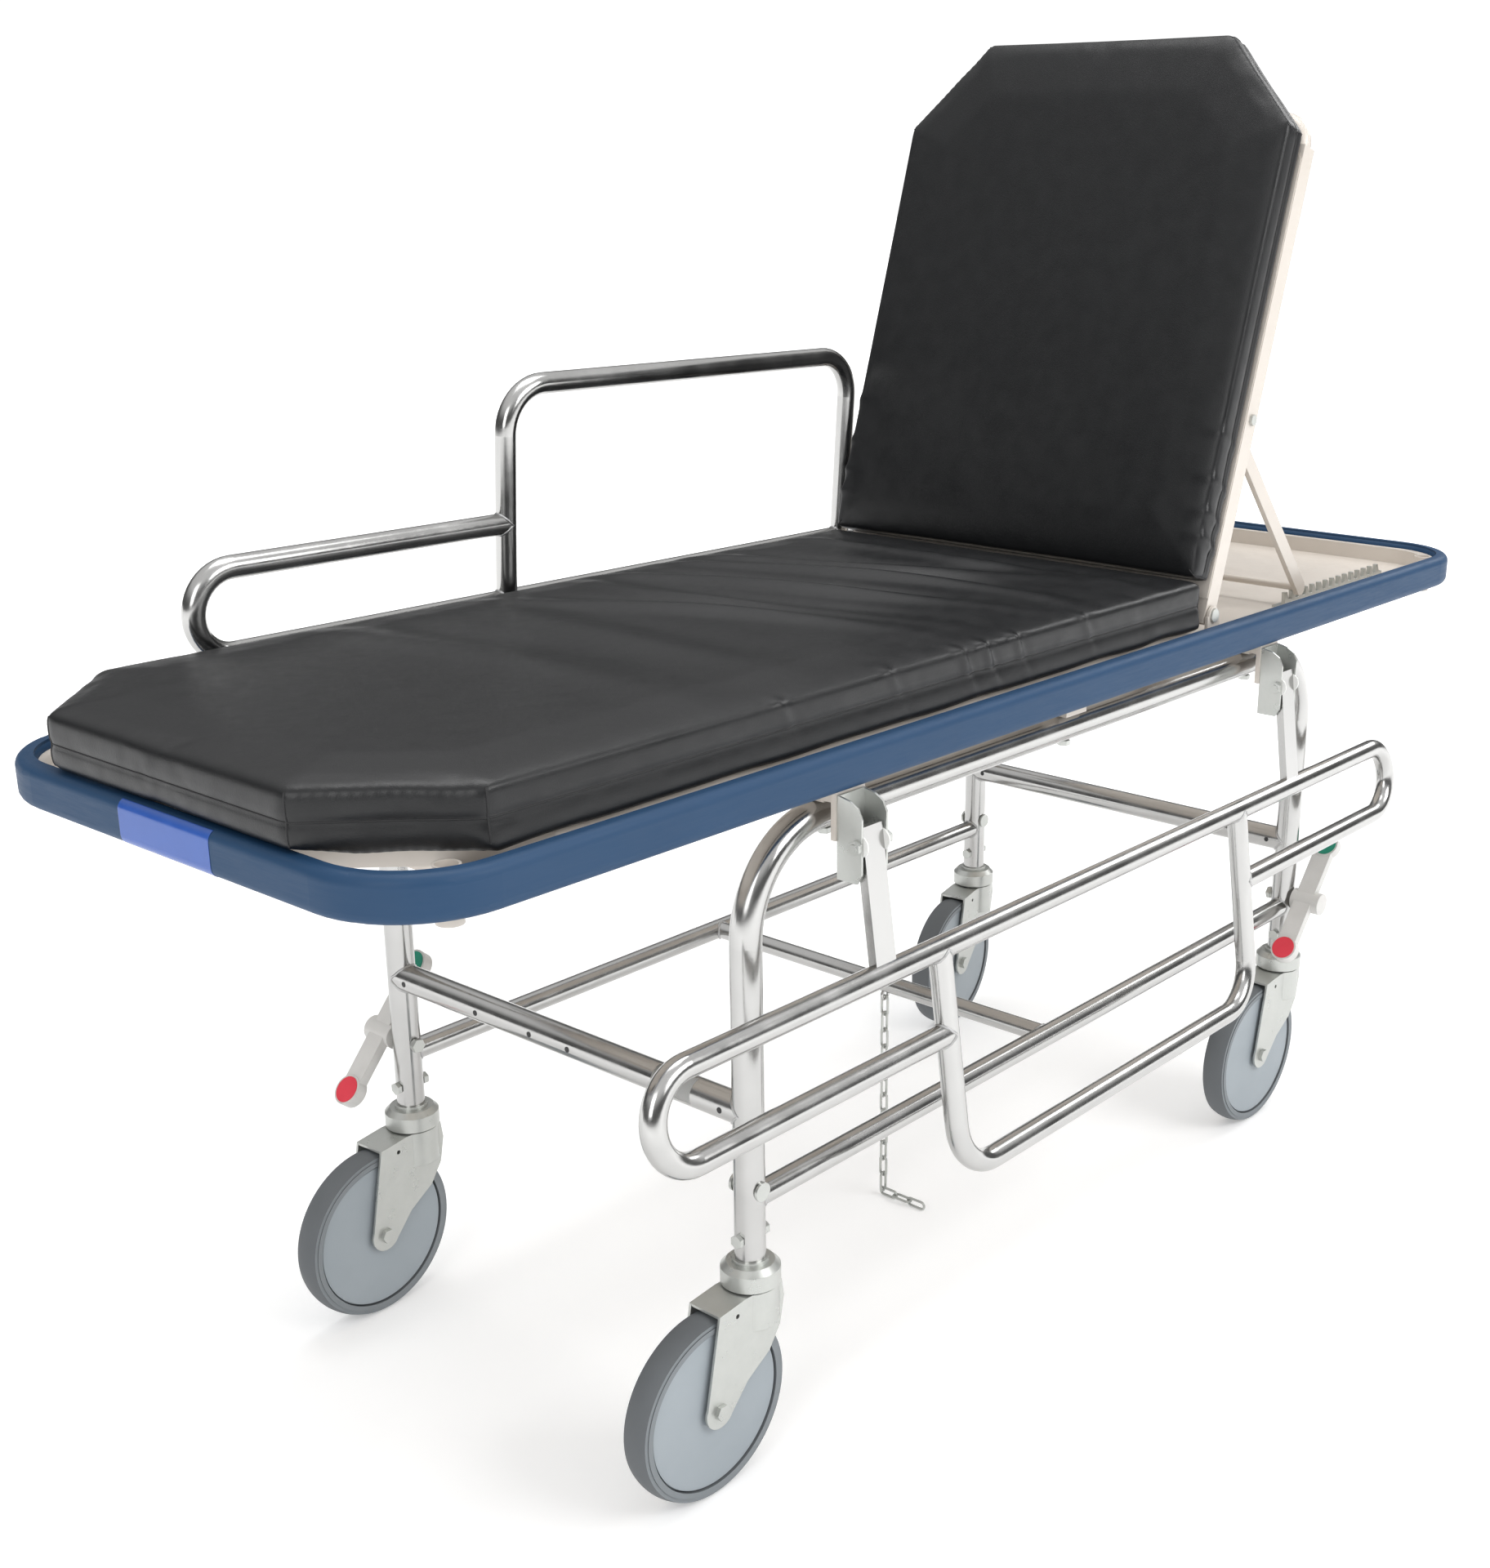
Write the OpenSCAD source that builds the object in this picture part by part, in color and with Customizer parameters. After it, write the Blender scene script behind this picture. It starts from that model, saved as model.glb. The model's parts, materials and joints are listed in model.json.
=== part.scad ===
// Stretcher trolley: a tubular undercarriage on four braked swivel casters,
// a litter with a raising backrest and a prop on toothed racks, a wrap-around
// bumper, two swing-down side rails and an earthing drag chain.
// X runs from the foot end to the head end, Y across and Z up from the floor.
// The origin is on the floor, under the middle of the litter. The backrest is
// drawn raised, the left (-Y) rail lowered and the right (+Y) rail raised.

/* [Undercarriage] */
// Distance between the foot and head caster axes
wheelbase = 1102; // [1060:1:1140]
// Distance between the left and right caster axes
track = 540; // [532:1:544]
// Outside diameter of the leg and end cross tubes
leg_od = 32; // [31.6:0.2:32.4]
// Wall of every round tube
tube_wall = 2; // [1.5:0.5:2.5]
// Height of the centre line of the hoops' top rails
hoop_z = 680; // [676:1:680]
// Bend radius of the hoops, on the centre line
hoop_bend_r = 106; // [90:1:120]
// Height of the lower side rails
lower_z = 302; // [298:1:306]
// Height of the foot and head cross tubes
cross_z = 398; // [380:1:420]
// Outside diameter of the lower side rails
lower_od = 25.4; // [22:0.2:26]
// Outside diameter of the middle cross tube
mid_od = 22; // [18:1:24]
// Place of the middle cross tube along the trolley
mid_x = -32; // [-80:1:40]

/* [Casters] */
// Wheel diameter
wheel_d = 200; // [200:1:201]
// Tyre width
tyre_w = 32; // [30:1:32]
// Distance from the swivel axis back to the axle
trail = 67.5; // [64:0.5:70]

/* [Litter] */
// Overall length, over the bumper
litter_l = 1966; // [1950:1:1990]
// Overall width, over the bumper
litter_w = 632; // [628:1:633]
// Outer corner radius of the bumper, seen from above
corner_r = 106; // [90:1:120]
// Height of the middle of the bumper
bumper_z = 733; // [732:1:734]
// Height of the bumper's section
bumper_h = 42; // [38:1:42]
// Depth of the bumper's section
bumper_d = 17; // [16.5:0.5:20]
// Length of the label on the foot end
label_l = 137; // [60:1:200]

/* [Mattress] */
// Width of the seat mattress
mattress_w = 580; // [560:1:584]
// Thickness of the seat mattress
mattress_t = 54.5; // [45:0.5:55]
// Length of the chamfers on the mattress corners
mattress_cut = 112; // [80:1:130]

/* [Backrest] */
// Place of the backrest hinge along the litter
hinge_x = 270; // [268:1:274]
// Height of the backrest hinge
hinge_z = 764; // [764:0.5:766]
// Angle of the backrest above the horizontal, as drawn
back_angle = 72.5; // [72:0.5:73]
// Length of the backrest frame from the hinge
back_l = 612; // [610:1:620]
// Width of the backrest frame
back_w = 569; // [565:1:570]
// Length of the backrest pad
pad_l = 651; // [600:1:655]
// Thickness of the backrest pad
pad_t = 45; // [40:1:46]
// Distance from the hinge to the prop bolt
prop_at = 240; // [238:1:241]
// Length of the prop from its bolt to its foot rod
prop_l = 325; // [323:1:326]

/* [Side rails] */
// Distance of the rail pivots from the middle of the litter
pivot_y = 328; // [328:0.5:332]
// Height of the rail pivots
pivot_z = 660; // [658:1:662]
// Outward lean of a lowered rail
lean_down = 8; // [6:0.5:9]
// Inward lean of a raised rail
lean_up = 4; // [2:0.5:4]
// Rail tube diameter
rail_od = 25; // [22:1:25]
// Overall length of a rail, between the centre lines of its end bends
rail_l = 1426; // [1400:1:1430]
// Middle of the rail along the trolley
rail_x = -45; // [-48:1:-42]

/* [Brake pedals] */
// Tilt of the pedals, as drawn
pedal_tilt = 50; // [46:1:54]

/* [Hidden] */
$fn = 48;
leg_x = wheelbase / 2;
leg_y = track / 2;
leg_r = leg_od / 2;
leg_bore = leg_r - tube_wall;
leg_bottom = 239;
lower_r = lower_od / 2;
mid_r = mid_od / 2;
shaft_z = 316;              // cam shafts through the legs
stem_bolt_z = 262;
fit = 0.05;                 // radial running clearance

wheel_r = wheel_d / 2;
cover_r = 0.85 * wheel_r;   // flat disc covers
fork_in = tyre_w / 2 + 2.5; // inner faces of the fork legs
fork_t = 3;
crown_z = 210;              // top face of the fork crown
race_z = 216;               // lower face of the fixed race
ball_r = 2.95;
ball_pcd_r = 21;
king_r = 8;
axle_r = 5;

bumper_bottom = bumper_z - bumper_h / 2;
bumper_nose = 10; // edge radius of the section
frame_r = 12.5;             // tube of the litter's ring
frame_x = litter_l / 2 - bumper_d;
frame_y = litter_w / 2 - bumper_d;
frame_bend_r = corner_r - bumper_d;
member_bottom = hoop_z + leg_r + 0.2;
member_top = 721.9;
member_x = [-840, -436, -20, 394, 840];
seat_top = 755.5;           // top of the seat deck
seat_head_x = 240;          // head end of the seat deck
pan_z = 722;                // underside of the sunken head deck
pan_t = 2;
pan_lip = 745.5;              // top of the head deck's turned-up edge

tube_sq = 25;               // square tube of the backrest frame
tube_half = tube_sq / 2;
panel_t = 1.5;
pad_gap = 0.2;
pad_start = 36;             // pad begins this far from the hinge
hinge_r = 5;
rack_tip = 745.5;
rack_pitch = 19.5;
rack_teeth = 15;
rack_x = 540;
rack_y = 240;
rack_t = 5;
rack_tooth = 11;
rod_r = 5;
rod_z = rack_tip + rod_r + 0.5;
prop_w = 7;                 // thickness of a prop leg
prop_depth = 20;            // width of a prop leg, seen from the side
prop_y = back_w / 2 - tube_sq - 2 - prop_w / 2;
prop_bolt_r = 4;
// Slope of the prop below the horizontal, from the height of its foot rod
prop_slope = asin((hinge_z + prop_at * sin(back_angle) - rod_z) / prop_l);

rail_r = rail_od / 2;
rail_in = rail_r - 1.5;
rail_u = [133, 224, 381];   // tube centre lines, measured from the pivot
rail_end_r = (rail_u[1] - rail_u[0]) / 2;
hump_half = 302;            // half the distance between the hump's legs
hump_r = 55;
upright_x = [-436, 394];
upright_w = 30;
upright_t = 10;
upright_tail = 18;          // upright beyond the pivot
rail_bolt_r = 4;
bush_t = 2.3;
bracket_gap = upright_w + 2 * bush_t + 0.4;
bracket_t = 2.5;
bracket_web = 22.5;           // pivot to the inside of the bracket's web
bracket_top = 707;
bracket_bottom = 622;
post_y = pivot_y - bracket_web - bracket_t;

hub_r = 15;
hub_l = 42;
hex_af = 11;
journal_r = 7;
cam_r = 8;
cam_e = 3;                  // eccentricity of the brake cam
plunger_r = 5;

hook_y = -22;
chain_top = lower_z - mid_r - 4.8;
link_wire = 3.4;
link_gap = 0.4;
link_l = 30;                // outside length of a chain link
link_w = 13;

// Where each leg stands, and the swivel angle of its caster
CORNERS = [[-1, -1, -1], [-1, 1, 3], [1, -1, -1], [1, 1, 8]];

// ---------- helpers ----------

// A cylinder of length l along X or Y, starting at the origin
module bar_x(l, r) rotate([0, 90, 0]) cylinder(h = l, r = r);
module bar_y(l, r) rotate([-90, 0, 0]) cylinder(h = l, r = r);

// A cylinder of length l centred on the origin, along X or Y
module mid_bar_x(l, r) translate([-l / 2, 0, 0]) bar_x(l, r);
module mid_bar_y(l, r) translate([0, -l / 2, 0]) bar_y(l, r);

// A hexagon head or nut along X or Y, centred on the axis
module hex_x(t, af) rotate([0, 90, 0]) cylinder(h = t, d = af / cos(30), $fn = 6);
module hex_y(t, af) rotate([-90, 0, 0]) cylinder(h = t, d = af / cos(30), $fn = 6);

// A box given by its lowest and highest corners
module box(a, b) translate(a) cube(b - a);

// Quarter ring in the XZ plane from +X up to +Z, with a round section
module quarter_xz(bend, r)
    rotate([90, 0, 0]) rotate_extrude(angle = 90) translate([bend, 0]) circle(r);

// Both mirror images of the children, left and right of the middle
module both_sides() {
    children();
    mirror([0, 1, 0]) children();
}

// ---------- undercarriage ----------

// Solid of radius r along the hoop: two legs, two bends and the top rail
module hoop_path(r) {
    leg_top = hoop_z - hoop_bend_r;
    for (m = [0, 1]) mirror([m, 0, 0]) {
        translate([leg_x, 0, leg_bottom]) cylinder(h = leg_top - leg_bottom, r = r);
        translate([leg_x - hoop_bend_r, 0, leg_top]) quarter_xz(hoop_bend_r, r);
    }
    translate([0, 0, hoop_z]) mid_bar_x(2 * (leg_x - hoop_bend_r), r);
}

module side_hoop() {
    color("gainsboro") difference() {
        hoop_path(leg_r);
        hoop_path(leg_bore);
        for (s = [-1, 1]) {
            translate([s * leg_x, 0, leg_bottom - 1]) cylinder(h = 2, r = leg_bore);
            translate([s * leg_x, 0, shaft_z]) mid_bar_y(leg_od + 4, journal_r + fit);
            translate([s * leg_x, 0, stem_bolt_z]) mid_bar_x(leg_od + 4, 4.1);
        }
        for (i = [1 : 3]) translate([member_x[i], 0, hoop_z - leg_r - 2])
            cylinder(h = leg_od + 4, r = 4.1);
    }
}

// The four legs as solid rods, to shape the ends of tubes welded to them
module leg_rods() {
    for (c = CORNERS)
        translate([c[0] * leg_x, c[1] * leg_y, leg_bottom]) cylinder(h = 300, r = leg_r);
}

module lower_rail(side) {
    color("silver") difference() {
        translate([0, side * leg_y, lower_z]) difference() {
            mid_bar_x(wheelbase, lower_r);
            mid_bar_x(wheelbase + 2, lower_r - tube_wall);
        }
        leg_rods();
    }
}

// End cross tube, with a row of drilled holes on its foot-end face
module end_cross_tube(end, holes) {
    color("silver") difference() {
        translate([end * leg_x, 0, cross_z]) difference() {
            mid_bar_y(track, leg_r);
            mid_bar_y(track + 2, leg_bore);
            for (y = holes) translate([-leg_od, y, 0]) bar_x(leg_od, 3.2);
        }
        leg_rods();
    }
}

foot_holes = [-leg_y + 24, -26, 34, 122, leg_y - 24];
head_holes = [-leg_y + 24, leg_y - 24];

module tube_plugs() {
    color("black") for (e = [-1, 1])
        for (y = e < 0 ? foot_holes : head_holes)
            translate([e * leg_x - leg_r - 0.2, y, cross_z]) bar_x(3, 3.2);
}

module mid_cross_tube() {
    color("silver") {
        difference() {
            translate([mid_x, 0, lower_z]) difference() {
                mid_bar_y(track, mid_r);
                mid_bar_y(track + 2, mid_r - tube_wall);
            }
            for (s = [-1, 1]) translate([0, s * leg_y, lower_z]) mid_bar_x(wheelbase, lower_r);
        }
        // eye for the drag chain, welded under the tube
        translate([mid_x, hook_y, lower_z - mid_r - 5]) rotate([90, 0, 0])
            rotate_extrude() translate([6, 0]) circle(2);
    }
}

// Round-headed pins that blank the shaft holes of the legs without a pedal
module leg_pins() {
    color("silver") for (c = [CORNERS[0], CORNERS[3]])
        translate([c[0] * leg_x, c[1] * leg_y, shaft_z]) {
            mid_bar_y(leg_od, journal_r);
            for (s = [0, 1]) mirror([0, s, 0])
                translate([0, leg_r, 0]) bar_y(3, 10);
        }
}

// ---------- casters ----------

// Places its children at each caster, or at one of them
module at_caster(i) translate([CORNERS[i][0] * leg_x, CORNERS[i][1] * leg_y, 0]) children();

// Places its children in the swivelled frame of one caster
module at_fork(i) at_caster(i) rotate([0, 0, CORNERS[i][2]]) children();

// Stem in the leg, collar, race cup and king pin, all fixed to the leg
module caster_stems() {
    color("silver") for (i = [0 : 3]) at_caster(i) difference() {
        union() {
            translate([0, 0, leg_bottom]) cylinder(h = 54, r = leg_bore - 0.1);
            translate([0, 0, 235]) cylinder(h = leg_bottom - 235, r = leg_r + 3);
            translate([0, 0, 229]) cylinder(h = 6, r1 = 31, r2 = 25);
            translate([0, 0, 212]) difference() {
                cylinder(h = 17, r = 31);
                translate([0, 0, -1]) cylinder(h = 11, r = 26);
            }
            translate([0, 0, 196]) cylinder(h = 30, r = king_r);
            translate([0, 0, 196]) cylinder(h = 5, r = 13);
        }
        translate([0, 0, stem_bolt_z]) mid_bar_x(leg_od, 4.1);
        translate([0, 0, 190]) cylinder(h = 110, r = plunger_r + 0.3);
    }
}

// Fixed race ring and the ring of balls under it
module caster_bearings() {
    color("lightsteelblue") for (i = [0 : 3]) at_caster(i) {
        translate([0, 0, race_z]) difference() {
            cylinder(h = 5.9, r = 25.8);
            translate([0, 0, -1]) cylinder(h = 8, r = king_r + 0.5);
        }
        for (a = [0 : 24 : 359]) rotate([0, 0, a])
            translate([ball_pcd_r, 0, (crown_z + race_z) / 2]) sphere(ball_r);
    }
}

// Bolts through the legs into the caster stems, and through the hoops into the litter
module frame_bolts() {
    color("silver") {
        for (i = [0 : 3]) at_caster(i) translate([0, 0, stem_bolt_z]) {
            for (s = [0, 1]) mirror([s, 0, 0]) translate([plunger_r + 1, 0, 0])
                bar_x(leg_r - plunger_r + 2, 4);
            translate([-leg_r - 5, 0, 0]) hex_x(5, 13);
            translate([leg_r, 0, 0]) hex_x(6.5, 13);
        }
        both_sides() for (i = [1 : 3]) translate([member_x[i], -leg_y, 0]) {
            translate([0, 0, hoop_z - leg_r - 5.5])
                cylinder(h = member_bottom - hoop_z + leg_r + 15, r = 4);
            translate([0, 0, hoop_z - leg_r - 5.5]) cylinder(h = 5.5, d = 15, $fn = 6);
            translate([0, 0, member_bottom + 2.1]) cylinder(h = 6.5, d = 15, $fn = 6);
        }
    }
}

// Side view of a fork leg: wide at the crown, tapering to a round end at the axle
module fork_side() {
    difference() {
        union() {
            translate([-trail, wheel_r]) circle(19);
            polygon([[-trail + 2, 206], [-trail - 18.9, wheel_r - 2], [-trail + 17, wheel_r - 9],
                [-28, 116], [4, 136], [20, 160], [26, 190], [23, crown_z], [-30, crown_z]]);
        }
        translate([-trail, wheel_r]) circle(axle_r + 0.1);
    }
}

module fork(i) {
    plate_w = 2 * (fork_in + fork_t);
    color("lightgray") at_fork(i) difference() {
        union() {
            both_sides() translate([0, fork_in + fork_t, 0])
                rotate([90, 0, 0]) linear_extrude(fork_t) fork_side();
            // sloping plate over the front of the wheel
            translate([0, plate_w / 2, 0]) rotate([90, 0, 0]) linear_extrude(plate_w)
                polygon([[-trail + 2, 203], [-trail + 2, 206], [-30, crown_z], [0, crown_z],
                    [0, crown_z - 3]]);
            // round crown and the skirt behind the wheel
            translate([0, 0, 168]) cylinder(h = crown_z - 168, r = 29);
        }
        intersection() {
            translate([0, 0, 150]) cylinder(h = crown_z - 150 - 4, r = 26);
            box([-30, -fork_in, 140], [30, fork_in, crown_z]);
        }
        translate([0, 0, 150]) cylinder(h = 80, r = king_r + fit);
        translate([-trail, 0, wheel_r]) mid_bar_y(2 * fork_in, wheel_r + 3);
        box([-40, -fork_in, 100], [0, fork_in, 203]);
        both_sides() translate([-41, fork_in - 1, 196]) bar_y(5, 2.5);
    }
}

module axle(i) {
    color("silver") at_fork(i) translate([-trail, 0, wheel_r]) {
        mid_bar_y(2 * (fork_in + fork_t) + 4, axle_r);
        both_sides() translate([0, fork_in + fork_t, 0]) hex_y(5, 15);
        both_sides() translate([0, 14.5, 0]) difference() {
            bar_y(fork_in - 14.6, 8);
            translate([0, -1, 0]) bar_y(8, axle_r);
        }
    }
}

module tyre(i) {
    color("slategray") at_fork(i) translate([-trail, 0, wheel_r]) rotate([90, 0, 0])
        rotate_extrude() difference() {
            translate([cover_r + 2, 0]) union() {
                translate([0, -tyre_w / 2]) square([wheel_r - cover_r - 9, tyre_w]);
                intersection() {
                    translate([wheel_r - cover_r - 40, 0]) circle(38);
                    translate([0, -tyre_w / 2 + 1]) square([wheel_r, tyre_w - 2]);
                }
            }
            translate([cover_r - 3, -9]) square([8, 18]);
        }
}

// Wheel centre: rim band, web, hub and the two disc covers
module wheel(i) {
    color("lightslategray") at_fork(i) translate([-trail, 0, wheel_r]) rotate([90, 0, 0])
        rotate_extrude() difference() {
            union() {
                translate([axle_r + fit, -14]) square([14, 28]);
                translate([axle_r + 10, -4]) square([cover_r - axle_r - 14, 8]);
                translate([cover_r - 8, -8.9]) square([12.9, 17.8]);
                for (m = [0, 1]) mirror([0, m]) translate([9, 12]) square([cover_r - 9, 2]);
                for (m = [0, 1]) mirror([0, m]) translate([cover_r - 6, 3]) square([4, 10]);
            }
        }
}

// ---------- litter ----------

// Ring around the litter: the 2-D children swept round a rounded rectangle whose
// outermost edge is len by wid with corner radius r; the section's +X points outwards
module litter_ring(len, wid, r) {
    for (sx = [0, 1], sy = [0, 1]) mirror([sx, 0, 0]) mirror([0, sy, 0])
        translate([len / 2 - r, wid / 2 - r, 0])
            rotate_extrude(angle = 90) translate([r, 0]) children();
    for (s = [0, 180]) rotate([0, 0, s]) {
        translate([len / 2, wid / 2 - r, 0]) rotate([90, 0, 0])
            linear_extrude(wid - 2 * r) children();
        translate([-len / 2 + r, wid / 2, 0]) rotate([90, 0, 90])
            linear_extrude(len - 2 * r) children();
    }
}

// Rounded outer face of the bumper's section, grown outwards by grow
module bumper_face(grow) {
    for (s = [-1, 1]) translate([-bumper_nose, bumper_z + s * (bumper_h / 2 - bumper_nose)])
        circle(bumper_nose + grow);
    translate([-bumper_nose, bumper_bottom + bumper_nose])
        square([bumper_nose + grow, bumper_h - 2 * bumper_nose]);
}

// Bumper section: rounded outside, hollowed to clip round the ring, outermost at X = 0
module bumper_section() {
    difference() {
        union() {
            bumper_face(0);
            translate([-bumper_d, bumper_bottom]) square([bumper_d - bumper_nose, bumper_h]);
        }
        translate([-bumper_d, bumper_z]) circle(frame_r + 0.1);
    }
}

module bumper() {
    color("steelblue") litter_ring(litter_l, litter_w, corner_r) bumper_section();
}

// Blank sticker wrapped over the foot end of the bumper
module bumper_label() {
    color("royalblue") translate([-litter_l / 2, -label_l / 2 - 6, 0]) rotate([90, 0, 180])
        linear_extrude(label_l) difference() {
            bumper_face(0.35);
            bumper_face(0.05);
            translate([-50, bumper_z - bumper_h]) square([44, 2 * bumper_h]);
        }
}

// Cross member, thinner by inset all round: shallow where it meets the ring, and
// deep between the hoops if it stands on them
module cross_member(x, inset) {
    half = frame_y - 4.5 + inset / 2;
    deep = leg_y + leg_r - inset;
    translate([x, 0, 0]) {
        box([-20 + inset, -half, bumper_bottom + 0.5 + inset], [20 - inset, half, member_top - inset]);
        if (abs(x) < leg_x)
            box([-20 + inset, -deep, member_bottom + inset], [20 - inset, deep, member_top - inset]);
    }
}

// Tube of radius r round the whole litter
module ring_tube(r)
    litter_ring(2 * (frame_x + r), 2 * (frame_y + r), frame_bend_r + r)
        translate([-r, bumper_z]) circle(r);

module litter_frame() {
    color("linen") difference() {
        union() {
            ring_tube(frame_r);
            // cross members under the ring; the middle three stand on the hoops
            for (x = member_x) cross_member(x, 0);
        }
        ring_tube(frame_r - tube_wall);
        for (x = member_x) cross_member(x, 2);
        at_frame_bolts() cylinder(h = 30, r = 4.1);
        at_sockets() cylinder(h = 100, r = socket_r + 2.5);
    }
}

// Where the litter is bolted down to the hoops, 10 mm below the cross members
module at_frame_bolts()
    both_sides() for (i = [1 : 3]) translate([member_x[i], -leg_y, member_bottom - 10])
        children();

// Plan of a panel with its foot-end corners cut off
module cut_corner_plan(x0, x1, w, cut)
    polygon([[x0 + cut, -w / 2], [x1, -w / 2], [x1, w / 2], [x0 + cut, w / 2],
        [x0, w / 2 - cut], [x0, -w / 2 + cut]]);

module seat_deck() {
    foot_x = -frame_x + frame_r + 2;
    wall = 2;
    w = 560;
    cut = mattress_cut + 50;
    color("linen") difference() {
        translate([0, 0, member_top + 0.1]) linear_extrude(seat_top - member_top - 0.1)
            cut_corner_plan(foot_x, seat_head_x, w, cut);
        translate([0, 0, member_top]) linear_extrude(seat_top - member_top - wall)
            cut_corner_plan(foot_x + wall, seat_head_x - wall, w - 2 * wall, cut);
        at_sockets() cylinder(h = 100, r = socket_r + 2.6);
    }
}

module pan_plan(inset) {
    x0 = seat_head_x + 2 + inset;
    x1 = frame_x - frame_r - 0.5 - inset;
    y1 = 281 - inset;
    r = 76 - inset;
    translate([x0, -y1]) square([x1 - r - x0, 2 * y1]);
    translate([x1 - r - 1, -y1 + r]) square([r + 1, 2 * (y1 - r)]);
    for (s = [-1, 1]) translate([x1 - r, s * (y1 - r)]) circle(r);
}

module head_deck() {
    color("seashell") difference() {
        translate([0, 0, pan_z]) linear_extrude(pan_lip - pan_z) pan_plan(0);
        translate([0, 0, pan_z + pan_t]) linear_extrude(pan_lip - pan_z) pan_plan(pan_t);
        at_sockets() cylinder(h = 100, r = socket_r + 2.6);
    }
}

// Upright sockets for drip poles, under the four corners
socket_x = 900;
socket_y = 276.5;
socket_r = 9.6;
module at_sockets()
    for (c = CORNERS) translate([c[0] * socket_x, c[1] * socket_y, 690]) children();

module iv_sockets() {
    color("linen") at_sockets() translate([0, 0, 10]) difference() {
        cylinder(h = 50, r = socket_r + 2.4);
        translate([0, 0, -1]) cylinder(h = 52, r = socket_r);
    }
}

// ---------- rail posts, brackets and bolts ----------

module at_rail_feet()
    both_sides() for (x = upright_x) translate([x, 0, 0]) children();

module rail_posts() {
    color("linen") at_rail_feet() {
        box([-22, -post_y, 661], [22, -post_y + 6, bumper_bottom - 0.5]);
        box([-20, -post_y + 6, member_bottom + 2], [20, -leg_y - leg_r - 0.1, bumper_bottom - 0.5]);
    }
}

module rail_brackets() {
    half = bracket_gap / 2;
    color("lightgray") at_rail_feet() difference() {
        translate([0, 0, bracket_bottom]) {
            box([-half - bracket_t, -post_y - bracket_t, 0],
                [half + bracket_t, -post_y, bracket_top - bracket_bottom]);
            for (s = [0, 1]) mirror([s, 0, 0]) translate([half, 0, 0])
                rotate([90, 0, 90]) linear_extrude(bracket_t) polygon([[-post_y, 0],
                    [-post_y - 25, 0], [-post_y - 31, 10], [-post_y - 31, 66],
                    [-post_y - 26, 76], [-post_y - 16, 82], [-post_y, 85]]);
        }
        translate([0, -pivot_y, pivot_z]) mid_bar_x(bracket_gap + 20, rail_bolt_r + 0.1);
    }
}

module rail_bolts() {
    half = bracket_gap / 2 + bracket_t;
    color("silver") at_rail_feet() translate([0, -pivot_y, pivot_z]) {
        mid_bar_x(2 * half + 12, rail_bolt_r);
        translate([-half - 5, 0, 0]) hex_x(5, 13);
        translate([half, 0, 0]) hex_x(6.5, 13);
    }
}

module rail_bushes() {
    color("white") at_rail_feet() translate([0, -pivot_y, pivot_z])
        for (s = [0, 1]) mirror([s, 0, 0]) translate([upright_w / 2 + 0.1, 0, 0])
            difference() {
                bar_x(bush_t, 11.5);
                translate([-1, 0, 0]) bar_x(bush_t + 2, rail_bolt_r + 0.05);
            }
}

// ---------- side rails ----------

// Solid of radius r along the tubes of a hanging rail, its pivot at the origin
module rail_path(r) {
    mid_u = (rail_u[0] + rail_u[1]) / 2;
    end_x = rail_l / 2 - rail_end_r;
    for (m = [0, 1]) mirror([m, 0, 0]) {
        translate([end_x, 0, -mid_u]) quarter_xz(rail_end_r, r);
        translate([end_x, 0, -mid_u]) rotate([0, 90, 0]) quarter_xz(rail_end_r, r);
        translate([hump_half, 0, -rail_u[1]]) bar_x(end_x - hump_half, r);
        translate([hump_half, 0, -rail_u[2] + hump_r])
            cylinder(h = rail_u[2] - hump_r - rail_u[0], r = r);
        translate([hump_half - hump_r, 0, -rail_u[2] + hump_r])
            rotate([0, 90, 0]) quarter_xz(hump_r, r);
    }
    translate([0, 0, -rail_u[0]]) mid_bar_x(2 * end_x, r);
    translate([0, 0, -rail_u[2]]) mid_bar_x(2 * (hump_half - hump_r), r);
}

// Hanging rail with its pivot axis along X through the origin, its middle at mid
module hanging_rail(mid) {
    difference() {
        union() {
            translate([mid, 0, 0]) rail_path(rail_r);
            for (x = upright_x) translate([x, 0, 0])
                box([-upright_w / 2, -upright_t / 2, -rail_u[0]],
                    [upright_w / 2, upright_t / 2, upright_tail]);
        }
        translate([mid, 0, 0]) rail_path(rail_in);
        for (x = upright_x) translate([x, 0, 0]) {
            mid_bar_x(upright_w + 2, rail_bolt_r + fit);
        }
    }
}

module side_rail_left()
    color("gainsboro") translate([0, -pivot_y, pivot_z]) rotate([-lean_down, 0, 0])
        hanging_rail(rail_x);

// The right rail stands raised, turned up over its pivots
module side_rail_right()
    color("gainsboro") translate([0, pivot_y, pivot_z]) rotate([180 + lean_up, 0, 0])
        hanging_rail(rail_x + 20);

// ---------- mattress ----------

module seat_mattress() {
    color("dimgray") translate([0, 0, seat_top + 0.5]) linear_extrude(mattress_t)
        cut_corner_plan(-litter_l / 2 + 5, seat_head_x - 4, mattress_w, mattress_cut);
}

// ---------- backrest ----------

// Places children drawn flat, with the hinge at the origin, on the raised backrest
module on_backrest()
    translate([hinge_x, 0, hinge_z]) rotate([0, -back_angle, 0]) children();

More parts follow.
